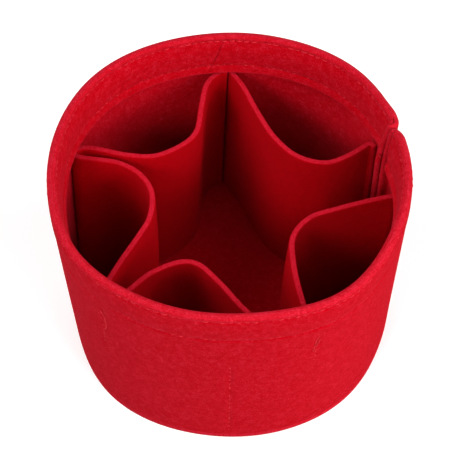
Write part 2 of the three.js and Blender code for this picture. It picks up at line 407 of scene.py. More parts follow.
def add_surface(tree, values, links):
    """Shader of a surface, joined to the material's output."""
    shader = add_node(tree, "ShaderNodeBsdfPrincipled", values, links)
    add_node(tree, "ShaderNodeOutputMaterial", None, {"Surface": shader.outputs["BSDF"]})


# %% [markdown]
# The felt mixes the two noises, so that the mat leads and the blotches only shade it. Pale strands lie where
# the mat is high. On a cut edge the colour is broken up by the same mat, which reads as standing tufts.
# A photograph of felt would give this at once, but noise has no seams and keeps its size on every strip.

# %% Felt

# Fibre clumps are about a tenth of a millimetre across, too fine to show, so they are drawn at 0.8 mm.
FIBRE_MM = 0.8
BLOTCH_MM = 3.2
FIBRE_SHARE = 0.7
STRAND_PINK = "#F0668A"
BLOOM_PINK = "#FF90B0"


def needled_felt(name, deep, light, cut, pale, bloom):
    """Needled felt: two reds mixed by a blotchy and a fibre noise, paler on cut edges and on the crest's
    painted sheen.

    `pale` is the greatest share of pale strands among the red ones, and `bloom` the weight of the sheen.
    """
    made, tree = new_material(name)
    blotch = add_noise(tree, BLOTCH_MM, {"Detail": 4.0, "Roughness": 0.6})
    fibre = add_noise(tree, FIBRE_MM, {"Detail": 5.0, "Roughness": 0.65, "Distortion": 1.6})
    both = {"A": blotch, "B": fibre}
    mix = add_node(tree, "ShaderNodeMix", {"Factor": FIBRE_SHARE}, both, data_type="FLOAT")
    mixed = mix.outputs["Result"]
    reds = add_ramp(tree, mixed, (0.36, deep), (0.66, light))
    strands = add_range(tree, mixed, (0.5, 0.66), (0.0, pale))
    flecked = add_tint(tree, reds, STRAND_PINK, strands)
    # The cut attribute is the paler share: standing fibres on cut edges, and the painted sheen on the crest.
    edge = add_node(tree, "ShaderNodeAttribute", attribute_name="cut").outputs["Fac"]
    tufts = add_range(tree, fibre, (0.4, 0.62), (0.1, 1.0))
    paler = add_tint(tree, flecked, cut, add_math(tree, "MULTIPLY", edge, tufts))
    mat = add_bump(tree, 0.75, 0.55, {"Height": fibre})
    waves = add_bump(tree, 0.2, 0.9, {"Height": blotch, "Normal": mat})
    finish = {
        "Roughness": 0.95,
        "Specular IOR Level": 0.03,
        "Sheen Weight": bloom,
        "Sheen Roughness": 0.35,
        "Sheen Tint": colour(BLOOM_PINK),
    }
    add_surface(tree, finish, {"Base Color": paler, "Normal": waves})
    return made


# The third colour is the paler one, for cut edges and for the painted sheen on the crest.
wall_felt = needled_felt("needled_red_felt", "#AA000C", "#C60216", "#DC344C", 0.12, 0.07)
# A darker copy of the same felt for the pockets, with no pale strands and hardly any sheen: painted shade for
# their shadowed insides.
shaded_pocket_felt = needled_felt("needled_red_felt_pockets_shaded", "#A20008", "#BB000E", "#CC2038", 0.0, 0.015)
print("felts:", wall_felt.name, shaded_pocket_felt.name)

# %% [markdown]
# The thread is spun polyester, two plies twisted together. It is a little lighter than the felt and nearly
# as matt, so a stitch shows as a pale dash in the trench that it lies in.

# %% Thread

# The plies are about 0.1 mm apart, too fine to show, so their noise is drawn at 0.5 mm.
PLY_MM = 0.5


def sewing_thread(name, dark, light):
    """Thread: a fine noise between two reds, and hardly any gloss."""
    made, tree = new_material(name)
    plies = add_noise(tree, PLY_MM, {"Detail": 2.0})
    reds = add_ramp(tree, plies, (0.35, dark), (0.65, light))
    twist = add_bump(tree, 0.4, 0.15, {"Height": plies})
    finish = {"Roughness": 0.6, "Specular IOR Level": 0.08}
    add_surface(tree, finish, {"Base Color": reds, "Normal": twist})
    return made


red_thread = sewing_thread("spun_red_thread", "#B40A1A", "#D8303C")
print("thread:", red_thread.name)

# %% [markdown]
# ## The base
# The base is one disc of felt. Its cut edge shows as a thin line under the wall. A cylinder would do,
# but a disc of felt has soft corners and is never quite flat, so its section is turned round the axis.

# %% Base disc

BASE_STEPS = 288
BASE_RINGS = 30

# Millimetres of the rounded corner of the cut edge and of the unevenness of the top
BASE_CORNER = 0.6
BASE_LUMPS = 0.12


def add_base():
    """Disc of revolution: radius and height of the section at each ring, turned round the axis.

    The section runs from the middle of the underside, out round the cut edge and back to the middle of
    the top, and the top carries a faint unevenness.
    """
    azimuth = np.linspace(0.0, 360.0, BASE_STEPS, endpoint=False)
    corner = np.radians([-90.0, -60.0, -30.0, 0.0])
    low_corner = BASE_CORNER * np.stack([np.cos(corner) - 1.0, 1.0 + np.sin(corner)])
    high_corner = np.stack([low_corner[0, ::-1], FELT - low_corner[1, ::-1]])
    side = np.stack([np.zeros(6), np.linspace(BASE_CORNER, FELT - BASE_CORNER, 8)[1:-1]])
    edge = np.concatenate([low_corner, side, high_corner], 1)
    inner = np.linspace(0.02, 1.0, BASE_RINGS, endpoint=False)
    flat = np.zeros(BASE_RINGS)
    share = np.concatenate([inner, np.ones(edge.shape[1]), inner[::-1]])[:, None]
    draw_in = np.concatenate([flat, edge[0], flat])[:, None]
    radius = (wall_radius(azimuth, 0.0) + draw_in) * share
    z = np.broadcast_to(np.concatenate([flat, edge[1], flat + FELT])[:, None], radius.shape)
    x, y = in_plan(radius, azimuth)
    on_top = (z > FELT - 0.01) * (share < 0.9)
    lumps = BASE_LUMPS * np.sin(x / 9.0) * np.cos(y / 11.0) * on_top
    points = np.stack([x, y, z + lumps], -1)
    cut = np.broadcast_to(0.4 * (share > 0.995), radius.shape)
    return add_mesh("felt_base", points.reshape(-1, 3), closed_faces(*radius.shape), cut)


base = add_base()
base.data.materials.append(wall_felt)
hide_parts("base_disc")

# %% [markdown]
# ## The wall
# The wall is one strip rolled into a cone. Its two ends turn inwards at the right and are sewn together,
# which leaves a soft notch in the rim. In plan the strip's middle line is therefore a straight end, a
# quarter turn, the long way round the tub, a quarter turn and a straight end. The crest is half of a dome:
# the facing has the other half.

# %% Wall path

# The seam: the slit, how far the turned-in ends reach, and their turn along the wall and out
SEAM_GAP = 0.15
ALLOWANCE = 9.3
ALLOWANCE_AT_RIM = 5.8
ALLOWANCE_AT_MIDDLE = 8.2
ALLOWANCE_AT_FLOOR = 5.5
TURN_ALONG = 4.8
TURN_OUT = 3.0
TURN_DEGREES = 4.5
SEAM_SIDE = (SEAM_GAP + FELT) / 2

# The curl of the free ends, with the splay of the two layers
CURL_FROM = 5.6
CURL_RADIUS = 4.0
SPLAY = 0.12

# The facing by the seam: how far the wall's turn pushes it in, and its slack
TURN_PUSH = 1.3
SLACK = 2.1
SLACK_REACH = 24.0

END_STEPS = 14
TURN_STEPS = 14
ROUND_STEPS = 520

# The crest's half dome and the paler colour painted on its top as sheen, and how far the facing's lower edge
# stands off
CREST = 2.4
CREST_WIDTH = 0.97 * FELT
CREST_SHEEN_PAINT = 0.45
CREST_SHEEN_REACH = 4.0
FLARE = 1.0


def allowance(z):
    """How far in the turned ends reach from the wall's outer face: widest at the facing's lower edge."""
    widths = [ALLOWANCE_AT_FLOOR, ALLOWANCE_AT_MIDDLE, ALLOWANCE, ALLOWANCE_AT_RIM]
    return np.interp(z, [WALL_BOTTOM, HEIGHT / 2, FACING_BOTTOM, HEIGHT], widths)


def seam_end(z, side):
    """Distances along and out of the rear (1) or front (-1) turned-in end, and the azimuth where it stops.

    The end is straight, then turns through a quarter ellipse that meets the round of the tub, where
    both have the same slope.
    """
    radius = wall_radius(WALL_SEAM + side * TURN_DEGREES, z) - FELT / 2
    slope = (SEAM_SIDE + TURN_ALONG) / radius
    last = np.arctan2(1.0, slope * TURN_ALONG / TURN_OUT)
    meet_along = SEAM_SIDE + TURN_ALONG * (1.0 + np.cos(last))
    centre = np.sqrt(radius**2 - meet_along**2) - TURN_OUT * np.sin(last)
    tip = wall_radius(WALL_SEAM, z) - allowance(z)
    share = np.linspace(0.0, 1.0, END_STEPS, endpoint=False)[:, None]
    angle = np.pi - (np.pi - last) * np.linspace(0.0, 1.0, TURN_STEPS, endpoint=False)[:, None]
    straight = np.full((END_STEPS, z.size), SEAM_SIDE)
    along = np.concatenate([straight, SEAM_SIDE + TURN_ALONG * (1.0 + np.cos(angle))])
    out = np.concatenate([tip + (centre - tip) * share, centre + TURN_OUT * np.sin(angle)])
    return side * along, out, WALL_SEAM + side * np.degrees(np.arcsin(meet_along / radius))


def seam_place(along, out, z):
    """Plan position of a point given by its distance from the seam's plane and its distance out.

    The ends curl to the front as they come free of the facing: the part that stands in farther is wound
    on a circle, and the two layers keep their distances from the circle's line, but for a slight splay.
    """
    seam = np.radians(WALL_SEAM)
    start = wall_radius(WALL_SEAM, z) - CURL_FROM
    turned = np.clip(start - out, 0.0, None) / CURL_RADIUS
    along = along * (1.0 + SPLAY * turned)
    out = np.maximum(out, start) - (CURL_RADIUS + along) * np.sin(turned)
    along = along - (CURL_RADIUS + along) * (1.0 - np.cos(turned))
    x = out * np.cos(seam) - along * np.sin(seam)
    y = out * np.sin(seam) + along * np.cos(seam)
    return x, y


def seam_dip(azimuth, z):
    """How far the inner layer stands in next to the seam, pushed by the wall's turn or by its own slack.

    The turn's push is a quarter ellipse on both sides. The slack lies in front of the seam, fades out
    round the tub like a hill, and grows from the rim row down to the facing's lower edge.
    """
    away = np.radians(degrees_from(azimuth, WALL_SEAM)) * RIM_RADIUS
    share = np.clip((SEAM_SIDE + TURN_ALONG - np.abs(away)) / TURN_ALONG, 0.0, 0.95)
    turn = TURN_PUSH * TURN_OUT * (1.0 - np.sqrt(1.0 - share**2))
    hang = near(z - FACING_BOTTOM, RIM_ROW - FACING_BOTTOM)
    slack = SLACK * hang * bell(away, SLACK_REACH) * (away < 0)
    return np.maximum(turn, slack)


def lower_flare(z):
    """How far the facing's free lower edge stands off the wall, from nothing at its stitch row."""
    return FLARE * near(z - FACING_BOTTOM, FACING_ROW - FACING_BOTTOM)


def round_place(azimuth, z, layer):
    """Plan position of the middle of the outer (0) or inner (1) layer on the round of the tub."""
    stand_in = FELT + TOUCH + seam_dip(azimuth, z) + lower_flare(z)
    return in_plan(wall_radius(azimuth, z) - FELT / 2 - layer * stand_in, azimuth)


def crest_painted_sheen(z):
    """Share of paler colour painted on the crest as sheen where its top catches the light, fading out just
    under it.
    """
    return CREST_SHEEN_PAINT * near(HEIGHT - z, CREST_SHEEN_REACH)


# Rows of points under the top of the crest
CREST_ROWS = np.array([0.0, 0.04, 0.15, 0.35, 0.65, 1.05, 1.5, 2.0])

# Bands of rows from an edge up to the crest: height of the band's top, and spacing of its rows
FACING_BANDS = [(FACING_ROW + 3.0, 0.5), (RIM_ROW - 2.5, 1.5), (HEIGHT - CREST_ROWS[-1], 0.4)]
WALL_BANDS = [(FACING_ROW - 3.0, 2.2), *FACING_BANDS]


def rows_between(low, high, spacing):
    """Even heights from low up to high, without the last one."""
    return np.linspace(low, high, max(1, int(round((high - low) / spacing))), endpoint=False)


def strip_heights(bottom, bands):
    """Rows of points up the wall or the facing: close at the edges and stitch rows, wide elsewhere."""
    rows = [bottom + EDGE_ROWS[:-1]]
    start = bottom + EDGE_ROWS[-1]
    for top, spacing in bands:
        rows.append(rows_between(start, top, spacing))
        start = top
    return np.concatenate([*rows, HEIGHT - CREST_ROWS[::-1]])[None]


wall_rows = strip_heights(WALL_BOTTOM, WALL_BANDS)
print("rows up the wall:", wall_rows.size)

# %% [markdown]
# With the path known, the wall is one call: its plan line at every height, an offset for the inner face, and
# an offset for the outer one that takes the trenches and the crest away. Extruding an edge loop and
# sculpting the rows by hand would give the same look, but here a row can be moved by changing one number.

# %% Wall


def add_wall():
    """The wall strip: seam end, round and seam end, with trenches in its outer face and a domed crest.

    On the round the crest falls away on the outer side alone; on the turned-in ends it does so on both.
    """
    z = wall_rows
    along, out, start = seam_end(z, 1)
    first = seam_place(along, out, z)
    along, out, stop = seam_end(z, -1)
    last = seam_place(along[::-1], out[::-1], z)
    azimuth = start + (stop + 360.0 - start) * np.linspace(0.0, 1.0, ROUND_STEPS)[:, None]
    middle = round_place(azimuth, z, 0)
    x, y = (np.concatenate([first[k], middle[k], last[k]]) for k in range(2))
    at_seam = np.full(out.shape, WALL_SEAM)
    around = np.concatenate([at_seam, azimuth, at_seam])
    on_round = np.concatenate([np.zeros(out.shape), np.ones(azimuth.shape), np.zeros(out.shape)])
    turning = np.concatenate([np.ones(END_STEPS), np.linspace(1.0, 0.0, TURN_STEPS, endpoint=False)])
    tucked = np.concatenate([turning, np.zeros(ROUND_STEPS), turning[::-1]])[:, None]
    full_z = np.broadcast_to(z, x.shape)
    # The paler share holds the cut edge's standing fibres and the painted sheen on the crest.
    cut = np.maximum(0.5 * near(full_z - WALL_BOTTOM), crest_painted_sheen(full_z))
    soft = rounded(full_z - WALL_BOTTOM)
    crest = rounded(HEIGHT - full_z, CREST, CREST_WIDTH)
    to_left = FELT / 2 - soft - 0.5 * tucked * crest
    to_right = FELT / 2 - soft - (1.0 - 0.5 * tucked) * crest - on_round * outer_dents(around, full_z)
    end_cut = np.zeros(x.shape)
    end_cut[[0, -1]] = 0.15
    lifted = full_z + rim_lift(around, full_z)
    return add_strip("felt_wall", x, y, lifted, to_left, to_right, np.maximum(cut, end_cut))


wall = add_wall()
wall.data.materials.append(wall_felt)
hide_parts("outer_wall")

# %% [markdown]
# ## The facing
# Inside the rim a second strip of felt stiffens the edge. Two lengths of it meet at a slit that leans to
# the left, and both stop at the turned-in ends of the wall. The rim row pulls the two layers together, so the
# facing is squeezed thinner up there and the crest is one soft dome.

# %% Facing

# The slit: its azimuth at half height, its lean and width, and the height over which it opens
SLIT = 94.5
SLIT_LEAN = 9.0
SLIT_WIDTH = 0.4
SLIT_FADE = 3.0

# How much the rim row squeezes the facing, and from how far under it
SQUEEZE = 1.1
SQUEEZE_REACH = 7.0

# Room for the wall's turned-in ends, and for their curl at the bottom
END_ROOM = 0.1
CURL_ROOM = 4.6

FACING_RADIUS = RIM_RADIUS - 1.5 * FELT
facing_rows = strip_heights(FACING_BOTTOM, FACING_BANDS)
lower_share = (HEIGHT - facing_rows) / (HEIGHT - FACING_BOTTOM)
facing_start = WALL_SEAM + np.degrees((SEAM_GAP / 2 + FELT + END_ROOM) / FACING_RADIUS)
facing_stop = 2 * WALL_SEAM + 360.0 - facing_start - np.degrees(CURL_ROOM * lower_share**2 / RIM_RADIUS)


def slit_side(z, side):
    """Azimuth of one side of the slit, which leans to the left going down and closes at both stitch rows."""
    rise = (z - FACING_BOTTOM) / (HEIGHT - FACING_BOTTOM)
    from_row = np.minimum(RIM_ROW - 1.0 - z, z - FACING_ROW - 0.5)
    width = SLIT_WIDTH * np.clip(from_row / SLIT_FADE, 0.02, 1.0)
    offset = SLIT_LEAN * (0.5 - rise) + side * width / 2
    return SLIT + np.degrees(offset / (RIM_RADIUS - FELT))


def rim_squeeze(z):
    """How much thinner the facing is towards the rim row and above it."""
    share = near(RIM_ROW - z, SQUEEZE_REACH)
    return SQUEEZE * share * share * (3.0 - 2.0 * share)


def add_facing(name, start, stop, steps):
    """One length of the facing between two azimuths, which may change with the height."""
    z = facing_rows
    azimuth = start + (stop - start) * np.linspace(0.0, 1.0, steps)[:, None] + 0.0 * z
    x, y = round_place(azimuth, z, 1)
    full_z = np.broadcast_to(z, x.shape)
    soft = rounded(full_z - FACING_BOTTOM)
    # The paler share holds the lower cut edge and part of the painted sheen on the crest.
    cut = np.maximum(0.5 * near(full_z - FACING_BOTTOM), 0.6 * crest_painted_sheen(full_z))
    thin = rim_squeeze(full_z)
    crest = rounded(HEIGHT - full_z, CREST, CREST_WIDTH) * (FELT - thin) / FELT
    to_left = FELT / 2 - soft - thin - crest - round_trenches(azimuth, full_z)
    to_right = FELT / 2 - soft
    lifted = full_z + rim_lift(azimuth, full_z)
    return add_strip(name, x, y, lifted, to_left, to_right, cut)


facings = {
    "rim_facing_short": add_facing("felt_facing_short", facing_start, slit_side(facing_rows, -1), 130),
    "rim_facing_long": add_facing("felt_facing_long", slit_side(facing_rows, 1), facing_stop, 420),
}
for node, piece in facings.items():
    piece.data.materials.append(wall_felt)
    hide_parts(node)

# %% [markdown]
# ## The pockets
# Each pocket is a panel that leaves the wall at one stitch row, loops into the tub and comes back at the
# next. Felt this thick bends in easy curves, so a smooth curve through a few points gives the loop. At a
# stitch row the felt rolls over onto the wall and meets the next panel there.

# %% Pocket lines

# Each line: azimuth in degrees and distance in from the wall in millimetres, from seam to seam.
ON_WALL = FELT / 2 + TOUCH
POCKET_LINES = {
    "rear_right": [
        (REAR_SEAM - 0.7, 1.0), (REAR_SEAM - 1.4, 3.3), (87.4, 6.2), (84.5, 12), (76, 28), (59, 42),
        (38, 43), (25.6, 32), (24.9, 19), (26.1, 10), (26.4, 7.0), (25.8, 5.7), (24.2, 5.6),
    ],
    "rear_left": [
        (REAR_SEAM + 0.6, ON_WALL), (REAR_SEAM + 2.9, ON_WALL + 0.3), (98.6, 8.8), (103.5, 23), (112.2, 40),
        (125, 45), (144, 41), (151.5, 28), (154.4, 12), (156.3, 4.6), (LEFT_SEAM - 0.7, ON_WALL + 0.3),
        (LEFT_SEAM - 0.1, ON_WALL),
    ],
    "left": [
        (LEFT_SEAM + 0.1, ON_WALL), (LEFT_SEAM + 0.6, ON_WALL + 0.3), (160.5, 4.6), (159.7, 12), (157.6, 26),
        (160.6, 38), (173, 46), (196, 45), (207, 37), (216, 21), (221, 8), (223.4, 3.2),
        (FRONT_LEFT_SEAM - 0.1, ON_WALL),
    ],
    "front": [
        (FRONT_LEFT_SEAM + 0.1, ON_WALL), (226.8, 3.2), (228.2, 10), (229.7, 28), (238.4, 41), (248, 43),
        (264.8, 34), (275.4, 20.3), (282.6, 8.4), (290.3, ON_WALL + 0.6), (FRONT_RIGHT_SEAM - 0.15, ON_WALL),
    ],
    "right": [
        (FRONT_RIGHT_SEAM + 0.1, ON_WALL), (298.9, 3.4), (298.7, 11), (301.2, 22.2), (309.3, 38.6), (324, 48),
        (344, 44.5), (354, 32), (359, 17.5), (361.0, 7), (361.6, 3.4), (363.8, ON_WALL),
    ],
}

POCKET_STEPS = 150
SPAN_STEPS = 24

# Share of a line that moves with a leaning seam as a whole, and distance in where the depth fully changes
FOLD_SHARE = 0.25
FREE_DISTANCE = 12.0


def smooth_curve(points, count):
    """Centripetal Catmull-Rom curve through the points, resampled to even steps.

    On each span between two points the curve is the pyramid of weighted means of the four nearest
    points, with knots spaced by the square root of the distance between points.
    """
    ends = np.concatenate([2 * points[:1] - points[1:2], points, 2 * points[-1:] - points[-2:-1]])
    knots = np.concatenate([[0.0], np.cumsum(np.sqrt(np.linalg.norm(np.diff(ends, axis=0), axis=1)))])
    spans = len(points) - 1
    k = np.repeat(np.arange(spans), SPAN_STEPS) + 1
    share = np.tile(np.linspace(0.0, 1.0, SPAN_STEPS, endpoint=False), spans)
    t = (knots[k] + (knots[k + 1] - knots[k]) * share)[:, None]

    def mean(a, b, first, second):
        start, stop = knots[k + first][:, None], knots[k + second][:, None]
        return (a * (stop - t) + b * (t - start)) / (stop - start)

    p0, p1, p2, p3 = (ends[k + shift] for shift in (-1, 0, 1, 2))
    a1, a2, a3 = mean(p0, p1, -1, 0), mean(p1, p2, 0, 1), mean(p2, p3, 1, 2)
    curve = mean(mean(a1, a2, -1, 1), mean(a2, a3, 0, 2), 0, 1)
    curve = np.concatenate([curve, points[-1:]])
    walked = np.concatenate([[0.0], np.cumsum(np.linalg.norm(np.diff(curve, axis=0), axis=1))])
    even = np.linspace(0.0, walked[-1], count)
    return np.stack([np.interp(even, walked, curve[:, axis]) for axis in range(2)], -1), walked[-1]


# How each panel sits at the floor: share of its depth into the tub, the leans of its two seams, and how
# much nearer to the wall its last end is than at the top.
AT_FLOOR = {
    "rear_right": (0.94, LEANS[REAR_SEAM], 0.0, 3.5),
    "rear_left": (0.84, LEANS[REAR_SEAM], LEANS[LEFT_SEAM]),
    "left": (0.87, LEANS[LEFT_SEAM], LEANS[FRONT_LEFT_SEAM]),
    "front": (0.95, LEANS[FRONT_LEFT_SEAM], LEANS[FRONT_RIGHT_SEAM]),
    "right": (1.0, LEANS[FRONT_RIGHT_SEAM], 0.0),
}


def pocket_line(line, z, depth=1.0, first_lean=0.0, last_lean=0.0, nearer=0.0):
    """The panel's middle line in plan at one height, which follows the wall's radius there.

    Each point's distance from the wall is scaled by the depth, and its azimuth moves with the lean of each
    seam, less and less beyond the fold. The last end comes nearer to the wall by the given amount.
    """
    azimuth, inset = np.array(line, float).T
    share = np.linspace(0.0, 1.0, len(line))
    with_first = np.clip((1.0 - share) / (1.0 - FOLD_SHARE), 0.0, 1.0) ** 3
    with_last = np.clip(share / (1.0 - FOLD_SHARE), 0.0, 1.0) ** 3
    azimuth = azimuth + first_lean * with_first + last_lean * with_last
    deeper = 1.0 + (depth - 1.0) * np.clip(inset / FREE_DISTANCE, 0.0, 1.0)
    inset = ON_WALL + (inset - ON_WALL) * deeper - nearer * np.clip(3.0 * share - 2.0, 0.0, 1.0)
    places = in_plan(wall_radius(azimuth, z) - FELT - inset, azimuth)
    return smooth_curve(np.stack(places, -1), POCKET_STEPS)


# A panel's bow and wave, its uneven top edge, its soft corners and the spacing of its rows of points
BOW = 0.7
WAVE = 0.25
HAND_CUT = 0.3
PANEL_CORNER = 0.75
PANEL_SPACING = 2.6


def add_pocket(side, line):
    """Panel between its lines at the floor and at its top edge, slightly bowed."""
    low, _ = pocket_line(line, WALL_BOTTOM, *AT_FLOOR[side])
    high, length = pocket_line(line, POCKET_TOP)
    body = rows_between(WALL_BOTTOM + EDGE_ROWS[-1], POCKET_TOP - EDGE_ROWS[-1], PANEL_SPACING)
    z = np.concatenate([WALL_BOTTOM + EDGE_ROWS[:-1], body, POCKET_TOP - EDGE_ROWS[::-1]])[None]
    rise = (z - WALL_BOTTOM) / (POCKET_TOP - WALL_BOTTOM)
    x = low[:, :1] + (high[:, :1] - low[:, :1]) * rise
    y = low[:, 1:] + (high[:, 1:] - low[:, 1:]) * rise
    share = np.linspace(0.0, 1.0, POCKET_STEPS)[:, None]
    full_z = np.broadcast_to(z, x.shape)
    free = np.sin(np.pi * share) ** 0.5
    bow = free * (BOW * np.sin(np.pi * rise) + WAVE * np.sin(9 * share + 5 * rise))
    from_edge = np.minimum(full_z - WALL_BOTTOM, POCKET_TOP - full_z)
    half = FELT / 2 - rounded(from_edge, PANEL_CORNER, PANEL_CORNER)
    cut = near(POCKET_TOP - full_z, 0.4)
    cut[[0, -1]] = 0.4
    hand_cut = HAND_CUT * np.sin(11 * share + 2.0) * free * rise**2
    piece = add_strip(f"felt_pocket_{side}", x, y, full_z + hand_cut, half + bow, half - bow, cut)
    return piece, length


pocket_lengths = {}
for side, line in POCKET_LINES.items():
    panel, pocket_lengths[side] = add_pocket(side, line)
    panel.data.materials.append(shaded_pocket_felt)
    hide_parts(f"pocket_panel_{side}")
print("pocket panels, flat length in mm:", {side: round(float(v)) for side, v in pocket_lengths.items()})

# %% [markdown]
# ## The stitches
# A lockstitch shows as a row of short dashes of thread, each diving into the felt at both ends. One dash is
# a bent tube of five rings, and a row is the same dash set along a line, all of it in one array.

# %% Stitch rows

STITCH_LENGTH = 3.1
STITCH_RADIUS = 0.36
STITCH_RINGS = 5
STITCH_SIDES = 6

# How stitches differ: greatest depth, shortest and longest share of length, and slant
DEPTH_SPREAD = 0.45
SHORTEST = 0.7
LONGEST = 1.05
SLANT_SPREAD = 0.09

# Degrees beside the wall seam without stitches, and millimetres that a sunk thread lies deeper
SEAM_CLEAR = 7.0
SUNK_DEPTH = 0.3

UP = np.array([0.0, 0.0, 1.0])
turn = np.linspace(0.0, 2 * np.pi, STITCH_SIDES, endpoint=False)
hand = np.random.default_rng(5)


def tube(spine, across, outward, thick):
    """Points of tubes: rings of these radii round lines of points."""
    ring = across[..., None, :] * np.cos(turn)[:, None] + outward[..., None, :] * np.sin(turn)[:, None]
    return (spine[..., None, :] + thick[..., None, None] * ring).reshape(-1, 3)


def thread_end(spine, outward):
    """Points and faces of a loose thread end along a line of points."""
    across = np.cross(outward, np.gradient(spine, axis=0))
    across = across / np.linalg.norm(across, axis=1, keepdims=True)
    thick = np.full(len(spine), STITCH_RADIUS)
    return tube(spine, across, outward, thick), closed_faces(len(spine), STITCH_SIDES)


def add_stitches(name, centres, ahead, outward, node, loose=()):
    """Row of stitches: each is a tube along `ahead` whose height is a parabola that dives in at the ends.

    At s from -1 to 1 along a stitch its height is 0.2 - 1.1 s^2 radii, and it thins towards the ends. Each
    stitch has its own length, slant and depth. Loose thread ends are joined to the same mesh.
    """
    s = np.linspace(-1.0, 1.0, STITCH_RINGS)[:, None]
    count = (len(centres), 1)
    across = np.cross(outward, ahead)
    centres = centres - outward * hand.uniform(0.0, DEPTH_SPREAD, count)
    half_length = STITCH_LENGTH / 2 * hand.uniform(SHORTEST, LONGEST, count)
    reach = (ahead + across * hand.normal(0.0, SLANT_SPREAD, count)) * half_length
    dive = STITCH_RADIUS * (0.2 - 1.1 * s**2)
    spine = centres[:, None] + reach[:, None] * s + outward[:, None] * dive
    thick = STITCH_RADIUS * (1.0 - 0.25 * s[:, 0] ** 2)
    points = tube(spine, across[:, None], outward[:, None], thick)
    first = STITCH_RINGS * STITCH_SIDES * np.arange(len(centres))
    faces = (closed_faces(STITCH_RINGS, STITCH_SIDES) + first[:, None, None]).reshape(-1, 4)
    for more_points, more_faces in loose:
        faces = np.concatenate([faces, more_faces + len(points)])
        points = np.concatenate([points, more_points])
    piece = add_mesh(name, points, faces)
    piece.data.materials.append(red_thread)
    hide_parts(node)


def level_out(azimuth):
    """Level directions out from the axis, one unit long."""
    return np.stack([*in_plan(1.0, azimuth), 0.0 * azimuth], -1)


def round_row(radius_at, z):
    """Places of stitches round the tub at one height: centres, directions along the row and outwards."""
    count = int(np.radians(360.0 - 2 * SEAM_CLEAR) * RIM_RADIUS / STITCH_PITCH)
    step = np.degrees(STITCH_PITCH / RIM_RADIUS)
    azimuth = step * (np.ceil((WALL_SEAM + SEAM_CLEAR) / step) + np.arange(count))
    centres = np.stack([*in_plan(radius_at(azimuth), azimuth), z + rim_lift(azimuth, z)], -1)
    return centres, level_out(azimuth + 90.0), level_out(azimuth)


def facing_face(azimuth, z):
    """Radius of the facing's inner face, trenches included."""
    thick = FELT - rim_squeeze(z) - round_trenches(azimuth, z)
    return wall_radius(azimuth, z) - FELT - 2 * TOUCH - seam_dip(azimuth, z) - thick


for row, z in {"rim": RIM_ROW, "facing": FACING_ROW}.items():
    outside = round_row(lambda azimuth: wall_radius(azimuth, z) - outer_dents(azimuth, z), z)
    add_stitches(f"thread_{row}_outside", *outside, f"{row}_stitch_outer")
    centres, ahead, outward = round_row(lambda azimuth: facing_face(azimuth, z), z)
    add_stitches(f"thread_{row}_inside", centres, ahead, -outward, f"{row}_stitch_inner")


def upright_row(seam, bottom, top, sunk):
    """Places of stitches up the wall along a leaning seam, deeper in the felt under the height `sunk`."""
    z = np.arange(np.ceil(bottom / STITCH_PITCH), np.floor(top / STITCH_PITCH) + 1) * STITCH_PITCH
    around = seam_azimuth(seam, z)
    radius = wall_radius(around, z) - outer_dents(around, z) - SUNK_DEPTH * (z < sunk)
    centres = np.stack([*in_plan(radius, around), z + rim_lift(around, z)], -1)
    slope = (RIM_RADIUS - BASE_RADIUS) / HEIGHT
    scale = np.sqrt(1.0 + slope**2)
    level = level_out(around)
    return centres, (slope * level + UP) / scale, (level - slope * UP) / scale


# Loose thread ends at the top of the two front pocket rows: millimetres to the right of the row, and height
LOOSE_ENDS = {
    "pocket_stitch_front_left": [[(-2.2, 89.0), (-1.2, 85.5), (0.2, 81.5), (0.4, 77.0), (-0.4, 74.0)]],
    "pocket_stitch_front_right": [
        [(0.4, 90.0), (-0.8, 86.0), (-1.6, 81.5), (-2.4, 77.5)],
        [(0.8, 86.5), (0.4, 83.5), (-0.5, 80.5)],
    ],
}


def loose_end(seam, line):
    """Thread end that lies on the wall's outer face along a smooth line next to a row."""
    curve, _ = smooth_curve(np.array(line), 14)
    offset, z = curve.T
    around = seam + np.degrees(offset / RIM_RADIUS)
    radius = wall_radius(around, z) - outer_dents(around, z) + 0.2
    outward = level_out(around)
    spine = radius[:, None] * outward
    spine[:, 2] = z + rim_lift(around, z)
    return thread_end(spine, outward)


for node, row in UPRIGHT_ROWS.items():
    ends = [loose_end(row[0], line) for line in LOOSE_ENDS.get(node, [])]
    add_stitches("thread_" + node, *upright_row(*row), node, ends)

# %% [markdown]
# Two rows are mostly out of sight: the one that holds the wall's ends together, with a knot on the upper
# corner of the turned-in ends, and the one that holds the wall to the base. They use the same stitch.

# %% Hidden rows

SEAM_ROW_IN = 6.0
KNOT_HEIGHT = 98.0


def wall_seam_row():
    """Places of the stitches on the front one of the wall's turned-in ends."""
    z = np.arange(2, int(FACING_BOTTOM / STITCH_PITCH)) * STITCH_PITCH
    out = wall_radius(WALL_SEAM, z) - SEAM_ROW_IN
    x, y = seam_place(np.full(z.shape, -(SEAM_GAP / 2 + FELT)), out, z)
    ahead = np.tile(UP, (len(z), 1))
    outward = np.tile(level_out(WALL_SEAM - 90.0), (len(z), 1))
    return np.stack([x, y, z], -1), ahead, outward


def seam_knot():
    """Thread end wound into a small upright coil on the cut ends of the wall."""
    wind = np.linspace(0.0, 3.0 * np.pi, 16)
    out = wall_radius(WALL_SEAM, KNOT_HEIGHT) - allowance(KNOT_HEIGHT) - 0.5
    x, y = seam_place(1.0 + 0.5 * np.cos(wind), np.full(wind.shape, out), KNOT_HEIGHT)
    spine = np.stack([x, y, KNOT_HEIGHT + 0.6 * np.sin(wind)], -1)
    return thread_end(spine, np.tile(-level_out(WALL_SEAM), (len(wind), 1)))


def wall_foot(azimuth):
    """Radius of a thread that lies against the wall's inner face, on the base."""
    return wall_radius(azimuth, FELT) - FELT - STITCH_RADIUS


